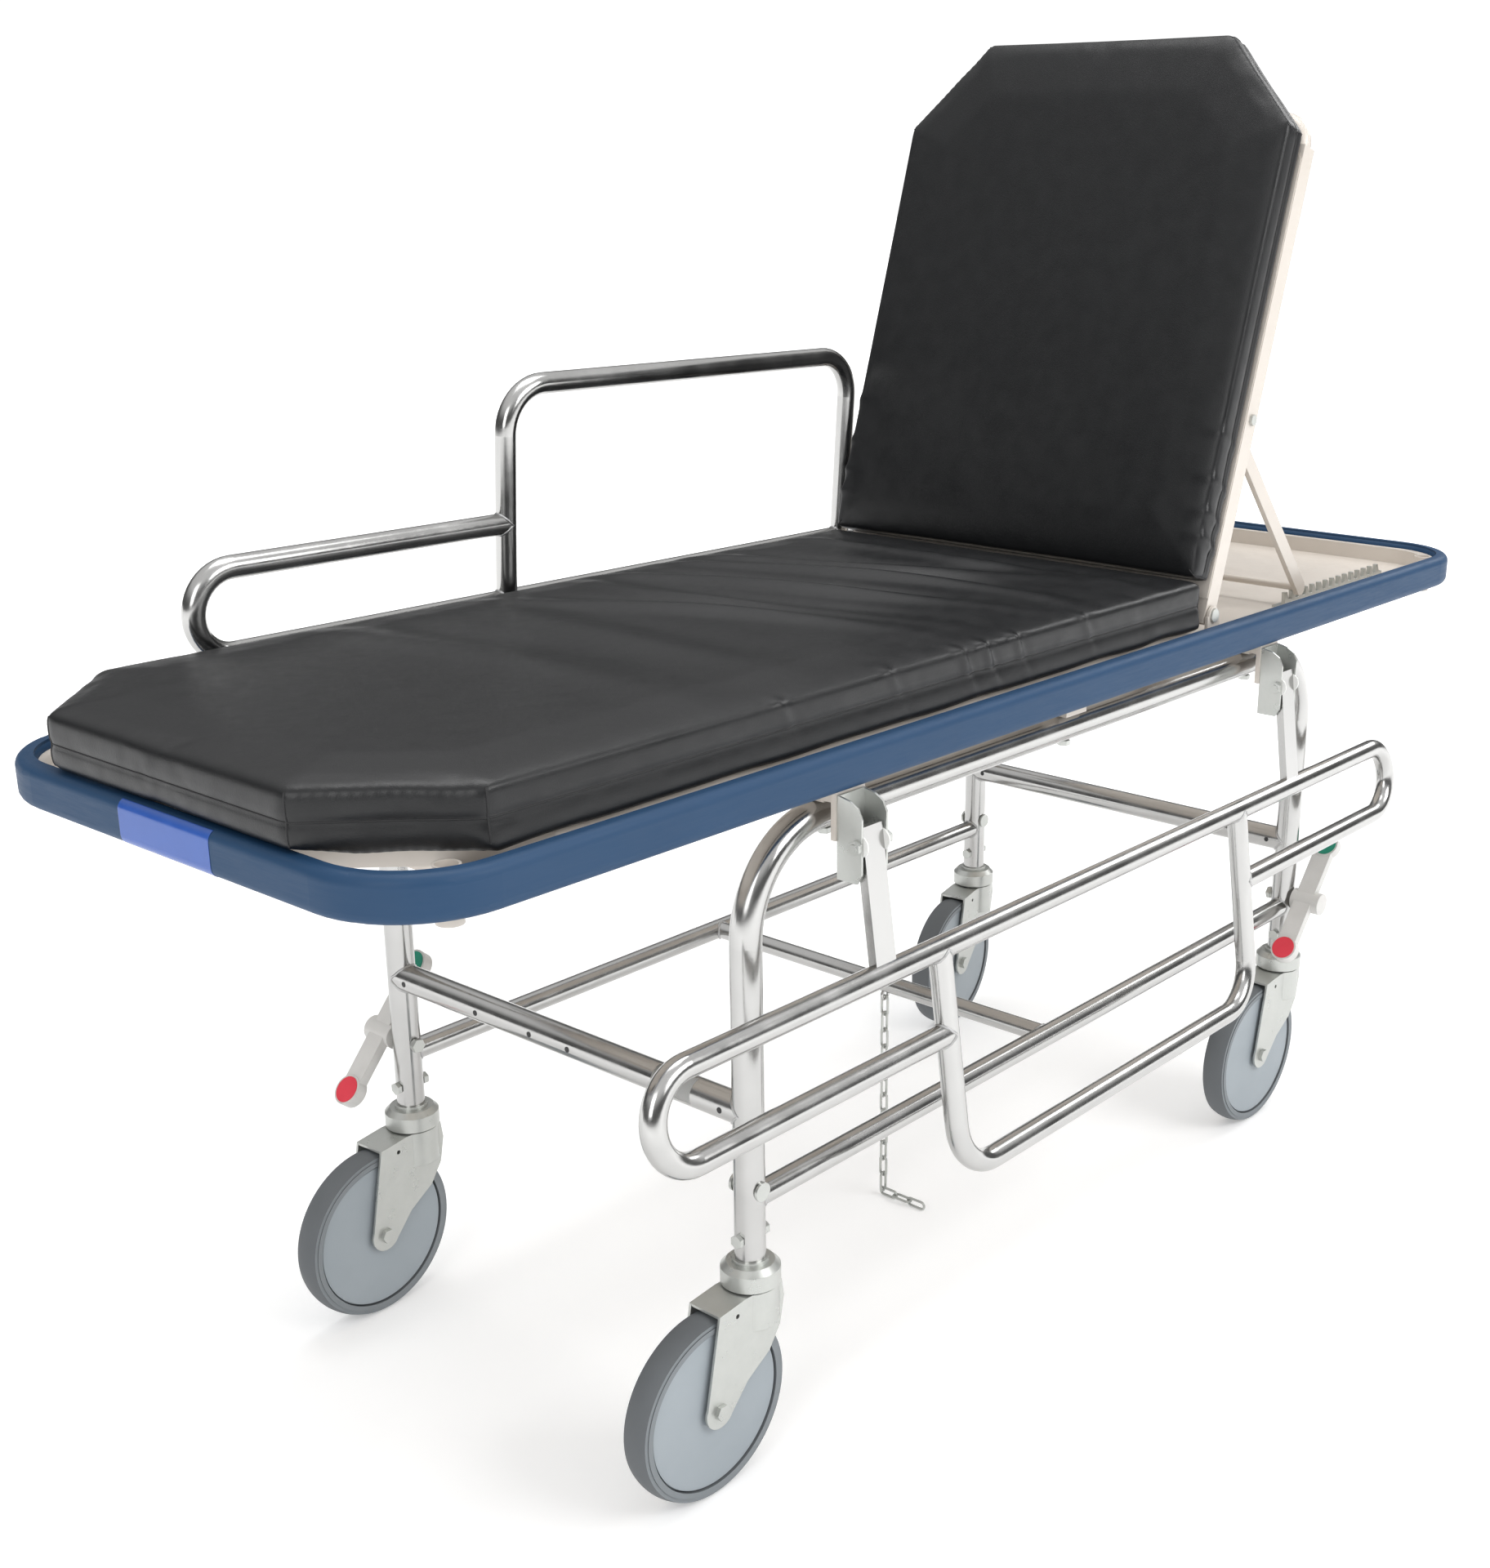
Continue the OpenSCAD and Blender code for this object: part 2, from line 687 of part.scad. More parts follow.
module backrest_frame() {
    side_y = back_w / 2 - tube_half;
    bend = 30;
    color("linen") on_backrest() difference() {
        union() {
            both_sides() {
                box([-tube_half, side_y - tube_half, -tube_half],
                    [back_l - bend - tube_half, side_y + tube_half, tube_half]);
                translate([back_l - bend - tube_half - 1, side_y, 0]) bar_x(1, 12);
                translate([back_l - bend - tube_half, side_y - bend, 0])
                    rotate_extrude(angle = 90) translate([bend, 0]) circle(12);
            }
            translate([back_l - tube_half, 0, 0]) mid_bar_y(2 * (side_y - bend), 12);
            for (x = [40, prop_at - 40])
                box([x - 10, -side_y, -8], [x + 10, side_y, 12]);
        }
        both_sides() box([-tube_half - 1, side_y - tube_half + 2, -tube_half + 2],
            [back_l - bend - tube_half - 8, side_y + tube_half - 2, tube_half - 2]);
        mid_bar_y(back_w + 10, hinge_r + fit);
        translate([prop_at, 0, 0]) mid_bar_y(back_w + 10, prop_bolt_r + 0.02);
    }
}

// Back panel with two pressed ribs and a chamfered top
module backrest_panel() {
    w = back_w - 2;
    color("linen") on_backrest() translate([0, 0, tube_half]) {
        linear_extrude(panel_t) difference() {
            polygon([[18, -w / 2], [back_l - 60, -w / 2], [back_l - 14, -w / 2 + 46],
                [back_l - 14, w / 2 - 46], [back_l - 60, w / 2], [18, w / 2]]);
            for (x = [130, 300, 450]) translate([x, 0]) square([16, 300], center = true);
        }
    }
}

module backrest_pad() {
    half = back_w / 2 - 0.5;
    end = pad_start + pad_l;
    color("dimgray") on_backrest() translate([0, 0, tube_half + panel_t + pad_gap])
        linear_extrude(pad_t) polygon([[pad_start, -half], [end - 108, -half],
            [end, -half + 102], [end, half - 102], [end - 108, half], [pad_start, half]]);
}

module hinge_brackets() {
    inner = back_w / 2 + 1.5;
    color("linen") difference() {
        both_sides() translate([hinge_x, inner + 4, 0]) rotate([90, 0, 0]) linear_extrude(4) {
            translate([-14, bumper_z + 3]) square([28, hinge_z - bumper_z - 3]);
            translate([0, hinge_z]) circle(11);
        }
        ring_tube(frame_r);
        translate([hinge_x, 0, hinge_z]) mid_bar_y(back_w + 40, hinge_r + 0.02);
    }
}

module hinge_bolts() {
    out_y = back_w / 2 + 5.6;
    in_y = back_w / 2 - tube_sq - 0.3;
    color("silver") both_sides() translate([hinge_x, 0, hinge_z]) {
        translate([0, in_y - 6, 0]) bar_y(out_y - in_y + 6, hinge_r);
        translate([0, out_y, 0]) bar_y(2.6, 8.5);
        translate([0, in_y - 5, 0]) hex_y(5, 15);
    }
}

// ---------- prop and racks ----------

module prop_bolts() {
    in_y = prop_y - prop_w / 2 - 0.5;
    out_y = back_w / 2;
    color("silver") both_sides() on_backrest() translate([prop_at, 0, 0]) {
        translate([0, in_y - 6, 0]) bar_y(out_y - in_y + 6, prop_bolt_r);
        translate([0, out_y, 0]) hex_y(4, 12);
        translate([0, in_y - 5, 0]) hex_y(5, 12);
    }
}

// Two legs and the rod that joins their feet; the pivots are on the Y axis
module prop_strut() {
    color("linen") on_backrest() translate([prop_at, 0, 0])
        rotate([0, back_angle + prop_slope, 0]) {
            both_sides() translate([0, prop_y, 0]) difference() {
                union() {
                    box([0, -prop_w / 2, -prop_depth / 2], [prop_l, prop_w / 2, prop_depth / 2]);
                    mid_bar_y(prop_w, prop_depth / 2);
                    translate([prop_l, 0, 0]) mid_bar_y(prop_w, prop_depth / 2);
                }
                mid_bar_y(prop_w + 2, prop_bolt_r + fit);
            }
            translate([prop_l, 0, 0]) mid_bar_y(2 * prop_y - prop_w, rod_r);
        }
}

// Toothed racks in the head deck, the teeth leaning towards the hinge
module prop_racks() {
    floor_z = pan_z + pan_t + 0.1;
    root_z = rack_tip - rack_tooth;
    length = rack_pitch * rack_teeth;
    color("rosybrown") both_sides() {
        translate([rack_x, rack_y + rack_t, 0]) rotate([90, 0, 0]) linear_extrude(rack_t) {
            translate([0, floor_z]) square([length, root_z - floor_z]);
            for (i = [0 : rack_teeth - 1])
                translate([i * rack_pitch, root_z - 0.5]) polygon([[0, 0],
                    [-1, rack_tooth + 0.5], [5, rack_tooth + 0.5], [9, 4], [11, 0]]);
        }
        box([rack_x, rack_y - 14, floor_z], [rack_x + length, rack_y, floor_z + 2]);
    }
}

// ---------- brake pedals ----------

// Places children at the shaft hole of a leg, +Y pointing outwards
module at_shaft(i)
    translate([CORNERS[i][0] * leg_x, CORNERS[i][1] * leg_y, shaft_z])
        mirror([0, CORNERS[i][1] < 0 ? 1 : 0, 0]) children();

// Places children on the tilted pedal, the steering end towards +X
module on_pedal(i) at_shaft(i) rotate([0, -pedal_tilt, 0]) children();

red_at = -78;
green_at = 84;
tread_z = 14;               // height of the tread face above the shaft
pad_r = 15.5;
pedal_half = 18;
tread_y = 2 + hub_l / 2 + leg_r - 2;

module pedal(i) {
    color("gainsboro") on_pedal(i) difference() {
        union() {
            translate([0, leg_r + 2, 0]) bar_y(hub_l, hub_r);
            for (x = [red_at, green_at]) translate([x, tread_y, 0])
                cylinder(h = tread_z, r = pedal_half);
            translate([red_at, tread_y, 0]) rotate([0, 90, 0]) linear_extrude(green_at - red_at)
                translate([-tread_z + 1, -13]) square([12, 26]);
        }
        translate([0, leg_r, 0]) hex_y(hub_l - 6, hex_af + 0.1);
        for (x = [red_at, green_at]) translate([x, tread_y, tread_z - 2])
            cylinder(h = 3, r = pad_r + 0.05);
    }
}

module pedal_pad(i, x)
    on_pedal(i) translate([x, tread_y, tread_z - 2]) cylinder(h = 2.6, r = pad_r);

// Hexagon shaft with round journals in the leg and an eccentric brake cam
module cam_shaft(i) {
    color("silver") on_pedal(i) {
        translate([0, leg_r - 0.5, 0]) hex_y(hub_l - 8, hex_af);
        for (s = [0, 1]) mirror([0, s, 0]) translate([0, 5.5, 0])
            bar_y(leg_r - 5.5 + 1.5, journal_r);
        rotate([0, pedal_tilt, 0]) translate([cam_e, 0, 0]) mid_bar_y(9, cam_r);
        mirror([0, 1, 0]) translate([0, leg_r + 1, 0]) hex_y(6, 15);
        mid_bar_y(14, 4);
    }
}

// Plunger with a window round the cam, and a rod down through the caster stem
module plunger(i) {
    window_w = 2 * (cam_r + cam_e) + 0.6;
    window_h = 2 * cam_r + 0.4;
    color("goldenrod") at_shaft(i) {
        difference() {
            box([-window_w / 2 - 1.2, -4, -window_h / 2 - 3],
                [window_w / 2 + 1.2, 4, window_h / 2 + 1.6]);
            box([-window_w / 2, -5, -window_h / 2], [window_w / 2, 5, window_h / 2]);
        }
        translate([0, 0, -shaft_z + 201]) cylinder(h = shaft_z - 201 - window_h / 2 - 2.5, r = plunger_r);
    }
}

// ---------- drag chain ----------

// One link of round wire: two straight sides and two half-round ends, hanging from Z = 0
module link() {
    bend = (link_w - link_wire) / 2;
    straight = link_l - link_w;
    for (s = [-1, 1]) {
        translate([0, s * bend, -link_w / 2 - straight]) cylinder(h = straight, d = link_wire, $fn = 16);
        translate([0, 0, -link_w / 2 - (s < 0 ? straight : 0)]) rotate([0, 90, 0])
            rotate_extrude(angle = 180, start = s < 0 ? -90 : 90)
                translate([bend, 0]) circle(d = link_wire, $fn = 16);
    }
}

// The chain hangs from its eye, and its last links lie along the floor
hang_links = 12;
floor_links = 3;
module drag_chain() {
    pitch = link_l - 2 * link_wire - link_gap;
    lie_z = link_w / 2 + link_gap;
    color("lightsteelblue") {
        translate([mid_x, hook_y, chain_top]) for (i = [0 : hang_links - 1])
            translate([0, 0, -i * pitch]) rotate([0, 0, i % 2 == 0 ? 0 : 90]) link();
        translate([mid_x, hook_y + 1.5 * link_wire + link_gap, lie_z])
            for (i = [0 : floor_links - 1]) translate([0, -i * pitch, 0])
                rotate([-90, 0, 0]) rotate([0, 0, i % 2 == 0 ? 0 : 90]) link();
    }
}

// ---------- the nodes ----------

translate([0, -leg_y, 0]) side_hoop();  // side_hoop_left
translate([0, leg_y, 0]) side_hoop();  // side_hoop_right
lower_rail(-1);  // lower_rail_left
lower_rail(1);  // lower_rail_right
end_cross_tube(-1, foot_holes);  // foot_cross_tube
end_cross_tube(1, head_holes);  // head_cross_tube
mid_cross_tube();
tube_plugs();
leg_pins();
frame_bolts();
caster_stems();
caster_bearings();
litter_frame();
seat_deck();
head_deck();
bumper();
bumper_label();
iv_sockets();
rail_posts();
rail_brackets();
rail_bolts();
rail_bushes();
prop_racks();
hinge_brackets();
hinge_bolts();
seat_mattress();
backrest_frame();
backrest_panel();
backrest_pad();
prop_bolts();
prop_strut();
side_rail_left();
side_rail_right();
drag_chain();
pedal(1);  // pedal_foot
color("crimson") pedal_pad(1, red_at);  // pedal_foot_red
color("seagreen") pedal_pad(1, green_at);  // pedal_foot_green
cam_shaft(1);  // cam_shaft_foot
plunger(1);  // plunger_foot
pedal(2);  // pedal_head
color("crimson") pedal_pad(2, red_at);  // pedal_head_red
color("seagreen") pedal_pad(2, green_at);  // pedal_head_green
cam_shaft(2);  // cam_shaft_head
plunger(2);  // plunger_head
fork(0);  // fork_foot_left
axle(0);  // axle_foot_left
tyre(0);  // tyre_foot_left
wheel(0);  // wheel_foot_left
fork(1);  // fork_foot_right
axle(1);  // axle_foot_right
tyre(1);  // tyre_foot_right
wheel(1);  // wheel_foot_right
fork(2);  // fork_head_left
axle(2);  // axle_head_left
tyre(2);  // tyre_head_left
wheel(2);  // wheel_head_left
fork(3);  // fork_head_right
axle(3);  // axle_head_right
tyre(3);  // tyre_head_right
wheel(3);  // wheel_head_right
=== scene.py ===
"""Looks for the stretcher trolley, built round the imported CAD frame. Metres, +X to the head end."""
import json
import math

import bmesh
import bpy
import numpy as np
from mathutils import Matrix, Vector
from mathutils.bvhtree import BVHTree


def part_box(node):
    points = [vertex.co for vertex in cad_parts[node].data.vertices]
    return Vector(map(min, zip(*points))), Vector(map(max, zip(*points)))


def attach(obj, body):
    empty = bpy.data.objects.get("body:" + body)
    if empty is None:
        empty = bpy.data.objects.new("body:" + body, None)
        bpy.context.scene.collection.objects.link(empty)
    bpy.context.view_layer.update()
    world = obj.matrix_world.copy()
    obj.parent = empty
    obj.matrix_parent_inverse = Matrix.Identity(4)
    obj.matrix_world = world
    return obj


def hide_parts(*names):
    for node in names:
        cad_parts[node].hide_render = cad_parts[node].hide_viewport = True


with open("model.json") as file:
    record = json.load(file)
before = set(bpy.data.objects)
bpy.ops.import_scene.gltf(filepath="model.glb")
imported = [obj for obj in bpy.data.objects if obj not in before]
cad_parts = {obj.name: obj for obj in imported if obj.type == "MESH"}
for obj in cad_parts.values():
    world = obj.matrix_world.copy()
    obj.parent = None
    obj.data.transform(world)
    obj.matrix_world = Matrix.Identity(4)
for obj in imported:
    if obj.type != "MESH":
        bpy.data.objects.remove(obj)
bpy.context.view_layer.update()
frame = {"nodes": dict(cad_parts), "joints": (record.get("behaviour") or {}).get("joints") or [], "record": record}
NODES = frame["nodes"]
MM = 0.001


def joint(name):
    return next(j for j in frame["joints"] if j["name"] == name)


HINGE = joint("backrest_hinge")
BACK_ANGLE = math.radians(max(HINGE["range_deg"]))
TO_BACKREST = Matrix.Translation(Vector(HINGE["pos_m"])) @ Matrix.Rotation(-BACK_ANGLE, 4, "Y")


# ---------- materials ----------

class Nodes:
    """A material's node tree with short calls for the nodes used here."""

    def __init__(self, name):
        self.material = bpy.data.materials.new(name)
        self.material.use_nodes = True
        self.tree = self.material.node_tree
        self.shader = self.tree.nodes["Principled BSDF"]
        self.place = self.add("ShaderNodeTexCoord").outputs["Object"]

    def add(self, kind, **inputs):
        node = self.tree.nodes.new(kind)
        for key, value in inputs.items():
            socket = node.inputs[key.replace("_", " ")]
            if isinstance(value, bpy.types.NodeSocket):
                self.tree.links.new(value, socket)
            else:
                socket.default_value = value
        return node

    def link(self, source, target):
        self.tree.links.new(source, target)

    def set(self, **inputs):
        for key, value in inputs.items():
            socket = self.shader.inputs[key.replace("_", " ")]
            if isinstance(value, bpy.types.NodeSocket):
                self.link(value, socket)
            else:
                socket.default_value = value

    def noise(self, scale, detail=3.0, roughness=0.5, stretch=(1, 1, 1)):
        mapping = self.add("ShaderNodeMapping", Vector=self.place, Scale=stretch)
        node = self.add("ShaderNodeTexNoise", Vector=mapping.outputs[0], Scale=scale,
                        Detail=detail, Roughness=roughness)
        return node.outputs[0]

    def cells(self, scale):
        return self.add("ShaderNodeTexVoronoi", Vector=self.place, Scale=scale).outputs["Distance"]

    def spread(self, value, low, high, start=0.3, stop=0.7):
        """value, taken from start..stop to low..high"""
        node = self.add("ShaderNodeMapRange", Value=value)
        for key, number in (("From Min", start), ("From Max", stop), ("To Min", low), ("To Max", high)):
            node.inputs[key].default_value = number
        return node.outputs[0]

    def tint(self, value, dark, light):
        node = self.add("ShaderNodeMix", Factor=value)
        node.data_type = "RGBA"
        node.inputs[6].default_value = (*dark, 1)
        node.inputs[7].default_value = (*light, 1)
        return node.outputs[2]

    def eased_edges(self, radius):
        """Normals that round the sharp edges of sheet and moulded parts"""
        node = self.add("ShaderNodeBevel", Radius=radius)
        node.samples = 4
        return node.outputs[0]

    def bump(self, height, strength, distance, over=None):
        node = self.add("ShaderNodeBump", Height=height, Strength=strength, Distance=distance)
        if over is not None:
            self.link(over, node.inputs["Normal"])
        return node.outputs[0]


def chrome_tube():
    """Plated tube: bright, with faint draw waves along it and light handling marks"""
    n = Nodes("chrome_tube")
    smears = n.noise(22, 4, 0.6)
    waves = n.bump(n.noise(55, 2), 0.10, 0.4 * MM)
    n.set(Metallic=1.0, Base_Color=n.tint(smears, (0.43, 0.428, 0.420), (0.55, 0.548, 0.540)),
          Roughness=n.spread(smears, 0.14, 0.27), Normal=waves)
    return n.material


def weld_metal():
    n = Nodes("weld_metal")
    ripple = n.bump(n.noise(900, 2), 0.7, 0.5 * MM)
    n.set(Metallic=1.0, Base_Color=(0.50, 0.50, 0.50, 1), Roughness=0.34, Normal=ripple)
    return n.material


def zinc():
    """Bright zinc plate on pressed steel, faintly blue-green and cloudy"""
    n = Nodes("zinc")
    cloud = n.noise(38, 5, 0.65)
    grain = n.bump(n.noise(1400, 3, 0.6), 0.22, 0.12 * MM, over=n.eased_edges(0.8 * MM))
    n.set(Metallic=0.75, Base_Color=n.tint(cloud, (0.46, 0.475, 0.455), (0.60, 0.61, 0.585)),
          Roughness=n.spread(cloud, 0.24, 0.42), Normal=grain)
    return n.material


def cream_paint():
    """Powder coat with a fine orange peel"""
    n = Nodes("cream_paint")
    tone = n.noise(9, 3)
    peel = n.bump(n.noise(620, 2), 0.16, 0.15 * MM, over=n.eased_edges(1.0 * MM))
    n.set(Base_Color=n.tint(tone, (0.58, 0.53, 0.475), (0.66, 0.61, 0.555)),
          Roughness=n.spread(n.noise(60, 3), 0.30, 0.42), Coat_Weight=0.25, Coat_Roughness=0.2,
          Normal=peel)
    return n.material


def bumper_blue():
    """Extruded vinyl: satin, with faint draw lines and scuffs"""
    n = Nodes("bumper_blue")
    tone = n.noise(6, 4, 0.6)
    scuffs = n.noise(120, 6, 0.7, (0.25, 0.25, 3))
    n.set(Base_Color=n.tint(tone, (0.010, 0.044, 0.106), (0.014, 0.055, 0.128)),
          Roughness=n.spread(scuffs, 0.46, 0.60), Normal=n.bump(scuffs, 0.08, 0.2 * MM),
          Specular_IOR_Level=0.35)
    return n.material


def vinyl_black():
    """Upholstery vinyl: fine pebble grain with shallow creases between the pebbles"""
    n = Nodes("vinyl_black")
    tone = n.noise(5, 4, 0.55)
    pebbles = n.bump(n.cells(900), 0.35, 0.22 * MM)
    creases = n.bump(n.noise(260, 5, 0.65), 0.20, 0.35 * MM, over=pebbles)
    soft = n.bump(n.noise(9, 2), 0.10, 3.0 * MM, over=creases)
    n.set(Base_Color=n.tint(tone, (0.0055, 0.0060, 0.0068), (0.0090, 0.0094, 0.0104)),
          Roughness=n.spread(n.noise(40, 4), 0.32, 0.44), Specular_IOR_Level=0.42, Normal=soft)
    return n.material


def thread_black():
    n = Nodes("thread_black")
    twist = n.bump(n.noise(1500, 2), 0.6, 0.3 * MM)
    n.set(Base_Color=(0.010, 0.010, 0.011, 1), Roughness=0.6, Normal=twist)
    return n.material


def tyre_grey():
    """Grey rubber with a mottled tone, darker on the tread than on the side walls"""
    n = Nodes("tyre_grey")
    dust = n.noise(30, 5, 0.6)
    facing = n.add("ShaderNodeSeparateXYZ", Vector=n.add("ShaderNodeTexCoord").outputs["Normal"])
    sideways = n.add("ShaderNodeMath", Value=facing.outputs["Y"])
    sideways.operation = "ABSOLUTE"
    wall = n.spread(sideways.outputs[0], 0.0, 1.0, 0.80, 0.97)
    tread_tone = n.tint(dust, (0.105, 0.114, 0.122), (0.145, 0.157, 0.167))
    tone = n.add("ShaderNodeMix", Factor=wall)
    tone.data_type = "RGBA"
    n.link(tread_tone, tone.inputs[6])
    tone.inputs[7].default_value = (0.215, 0.235, 0.250, 1)
    n.set(Base_Color=tone.outputs[2],
          Roughness=n.spread(dust, 0.58, 0.76), Normal=n.bump(n.noise(800, 3), 0.2, 0.2 * MM))
    return n.material


def wheel_grey():
    n = Nodes("wheel_grey")
    tone = n.noise(16, 3)
    n.set(Base_Color=n.tint(tone, (0.29, 0.33, 0.36), (0.36, 0.40, 0.43)), Roughness=0.42,
          Normal=n.bump(n.noise(700, 2), 0.10, 0.1 * MM))
    return n.material


def moulded(name, dark, light, rough, grain=0.12):
    """Moulded plastic or rubber with a faint texture from the mould"""
    n = Nodes(name)
    tone = n.noise(45, 3)
    n.set(Base_Color=n.tint(tone, dark, light), Roughness=n.spread(tone, rough - 0.05, rough + 0.05),
          Normal=n.bump(n.noise(1100, 2), grain, 0.15 * MM, over=n.eased_edges(0.9 * MM)))
    return n.material


def brass():
    n = Nodes("brass_cam")
    n.set(Metallic=1.0, Base_Color=n.tint(n.noise(60), (0.62, 0.44, 0.17), (0.78, 0.60, 0.28)),
          Roughness=0.3)
    return n.material


MATERIALS = {
    "chrome_tube": chrome_tube(),
    "zinc": zinc(),
    "cream_paint": cream_paint(),
    "bumper_blue": bumper_blue(),
    "vinyl_black": vinyl_black(),
    "tyre_grey": tyre_grey(),
    "wheel_grey": wheel_grey(),
    "label_blue": moulded("label_blue", (0.025, 0.085, 0.36), (0.035, 0.11, 0.43), 0.22),
    "pedal_grey": moulded("pedal_grey", (0.58, 0.57, 0.55), (0.68, 0.67, 0.65), 0.35),
    "pedal_red": moulded("pedal_red", (0.66, 0.030, 0.055), (0.80, 0.055, 0.085), 0.45),
    "pedal_green": moulded("pedal_green", (0.004, 0.20, 0.125), (0.010, 0.28, 0.18), 0.45),
    "nylon_white": moulded("nylon_white", (0.70, 0.70, 0.68), (0.80, 0.80, 0.78), 0.4),
    "black_plastic": moulded("black_plastic", (0.010, 0.010, 0.011), (0.02, 0.02, 0.02), 0.5),
    "bearing_steel": zinc(),
    "brass_cam": brass(),
}
WELD = weld_metal()
THREAD = thread_black()
STICKER = moulded("sticker_white", (0.62, 0.62, 0.60), (0.72, 0.72, 0.70), 0.35)


SHARP_ANGLE = math.radians(32)


def dress_frame():
    """Gives every CAD node its slot's material and smooth shading between its sharp edges"""
    for part in frame["record"]["subparts"]:
        obj = NODES[part["node"]]
        obj.data.materials.clear()
        obj.data.materials.append(MATERIALS[part["material_slot"]])
        obj.data.shade_smooth()
        obj.data.set_sharp_from_angle(angle=SHARP_ANGLE)


# ---------- cushions ----------

def outline_of(node, place):
    """Corners of a prism-shaped CAD node, seen along its thickness, and its two faces' heights"""
    back = place.inverted()
    points = [back @ v.co for v in NODES[node].data.vertices]
    flat = {(round(p.x, 4), round(p.y, 4)) for p in points}
    mid = Vector((sum(p[0] for p in flat) / len(flat), sum(p[1] for p in flat) / len(flat)))
    ring = sorted(flat, key=lambda p: math.atan2(p[1] - mid.y, p[0] - mid.x))
    return [Vector(p) for p in ring], min(p.z for p in points), max(p.z for p in points)


def edge_lines(ring):
    """Start, direction, inward normal and length of each side of a ring of corners"""
    sides = []
    for a, b in zip(ring, ring[1:] + ring[:1]):
        along = (b - a).normalized()
        sides.append((a, along, Vector((-along.y, along.x)), (b - a).length))
    return sides


def inside_by(co, sides):
    """How far each point lies inside each side"""
    return np.stack([(co[:, 0] - a.x) * n.x + (co[:, 1] - a.y) * n.y for a, _, n, _ in sides])


def slab(name, ring, low, high, inset, voxel):
    """Closed slab inside the ring, remeshed evenly"""
    centre = sum(ring, Vector((0, 0))) / len(ring)
    bm = bmesh.new()
    base = [bm.verts.new((*(p + (centre - p).normalized() * inset), low)) for p in ring]
    lid = bmesh.ops.extrude_face_region(bm, geom=[bm.faces.new(base)])["geom"]
    for v in lid:
        if isinstance(v, bmesh.types.BMVert):
            v.co.z = high
    bmesh.ops.recalc_face_normals(bm, faces=bm.faces)
    mesh = bpy.data.meshes.new(name)
    bm.to_mesh(mesh)
    bm.free()
    obj = bpy.data.objects.new(name, mesh)
    bpy.context.collection.objects.link(obj)
    remesh = obj.modifiers.new("remesh", "REMESH")
    remesh.mode = "VOXEL"
    remesh.voxel_size = voxel
    bake(obj)
    return obj


def bake(obj):
    """Makes the result of the object's modifiers its mesh"""
    graph = bpy.context.evaluated_depsgraph_get()
    made = bpy.data.meshes.new_from_object(obj.evaluated_get(graph))
    obj.modifiers.clear()
    old = obj.data
    obj.data = made
    bpy.data.meshes.remove(old)


def get_points(obj):
    co = np.empty(len(obj.data.vertices) * 3)
    obj.data.vertices.foreach_get("co", co)
    return co.reshape(-1, 3)


def set_points(obj, co):
    obj.data.vertices.foreach_set("co", co.ravel())
    obj.data.update()


def inflate(obj, pressure, slack, cap):
    """Cloth with air pressure inside and a cover slightly too big, so that it swells and creases"""
    start = get_points(obj)
    cloth = obj.modifiers.new("cloth", "CLOTH")
    cloth.settings.quality = 4
    cloth.settings.mass = 0.35
    cloth.settings.tension_stiffness = 22
    cloth.settings.compression_stiffness = 22
    cloth.settings.shear_stiffness = 10
    cloth.settings.bending_stiffness = 1.2
    cloth.settings.use_pressure = True
    cloth.settings.uniform_pressure_force = pressure
    cloth.settings.shrink_min = -slack
    cloth.settings.effector_weights.gravity = 0
    cloth.collision_settings.use_collision = False
    for step in range(1, 21):
        bpy.context.scene.frame_set(step)
    bake(obj)
    bpy.context.scene.frame_set(1)
    moved = get_points(obj) - start
    far = np.linalg.norm(moved, axis=1, keepdims=True)
    set_points(obj, start + moved * np.minimum(1, cap / np.maximum(far, 1e-9)))


def bell(x, width):
    """1 at x = 0, falling smoothly to nothing over about twice width"""
    return np.exp(-(x / width) ** 2)


def seam_line(name, obj, path, closed, body):
    """Sewn seam: a thin welt lying on the cushion along a path of (outside point, inward direction)"""
    tree = BVHTree.FromObject(obj, bpy.context.evaluated_depsgraph_get())
    points = []
    for spot, inward in path:
        hit = tree.ray_cast(spot, inward)[0]
        if hit is not None:
            points.append(hit + inward * 0.1 * MM)
    curve = bpy.data.curves.new(name, "CURVE")
    curve.dimensions = "3D"
    curve.bevel_depth = SEAM_R
    curve.bevel_resolution = 2
    line = curve.splines.new("POLY")
    line.points.add(len(points) - 1)
    for point, p in zip(line.points, points):
        point.co = (*p, 1)
    line.use_cyclic_u = closed
    piece = bpy.data.objects.new(name, curve)
    bpy.context.collection.objects.link(piece)
    curve.materials.append(THREAD)
    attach(piece, body)


VOXEL = 7 * MM          # grid of the remeshed covers
HELD = 70 * MM          # distance from a sewn edge over which the swelling comes in
RAY_START = 30 * MM     # how far outside a cover the seams are traced from
STITCH = 8 * MM         # spacing of the points along a boxing seam
SEAM_R = 1 * MM


